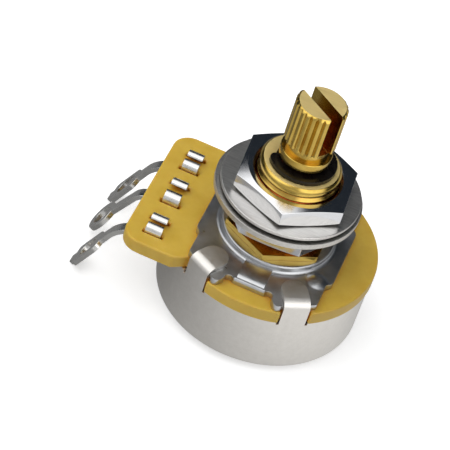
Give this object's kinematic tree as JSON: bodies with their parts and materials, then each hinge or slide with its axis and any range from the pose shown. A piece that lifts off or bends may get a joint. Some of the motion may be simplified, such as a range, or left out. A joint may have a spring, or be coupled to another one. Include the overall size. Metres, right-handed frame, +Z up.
{
  "type": "rotary potentiometer",
  "caption": "Panel-mount rotary potentiometer with a splined split shaft, a threaded bushing with nuts and washers, a round metal can and sloping solder lugs.",
  "frame": {"origin": "centre of the shaft axis at the shoulder of the bushing, where its thread leaves the flange", "axes": "+Z up the shaft towards its tip, -X towards the solder terminals, +Y across the row of terminals"},
  "size_m": [0.0335, 0.0246, 0.0318],
  "materials": {
    "can_steel": "satin drawn and plated steel",
    "plate_steel": "bright zinc-plated steel",
    "board_phenolic": "satin moulded phenolic",
    "machined_brass": "turned brass",
    "black_spring_steel": "black oxide",
    "nickel_plate": "bright nickel",
    "washer_steel": "bright nickel-plated steel",
    "tinned_brass": "tin plate",
    "carbon_track": "screened carbon on phenolic paper",
    "plated_contact": "silver-plated brass",
    "rotor_phenolic": "moulded phenolic",
    "phosphor_bronze": "rolled phosphor bronze",
    "carbon_brush": "moulded carbon",
    "white_nylon": "nylon"
  },
  "bodies": {
    "housing": {"cover": "can_steel", "mounting_plate": "plate_steel", "base_board": "board_phenolic", "bushing": "machined_brass", "lower_nut": "nickel_plate", "lock_washer": "washer_steel", "flat_washer": "washer_steel", "upper_nut": "nickel_plate", "ccw_terminal": "tinned_brass", "wiper_terminal": "tinned_brass", "cw_terminal": "tinned_brass", "resistive_element": "carbon_track", "collector_ring": "plated_contact", "thrust_washer": "white_nylon"},
    "shaft_body": {"shaft": "machined_brass", "retaining_clip": "black_spring_steel", "rotor": "rotor_phenolic", "contact_spring": "phosphor_bronze", "contact_brush": "carbon_brush"}
  },
  "joints": [
    {"name": "shaft_rotation", "type": "hinge", "parent": "housing", "child": "shaft_body", "pos_m": [0, 0, 0], "axis": [0, 0, 1], "range_deg": [-150, 150]}
  ]
}
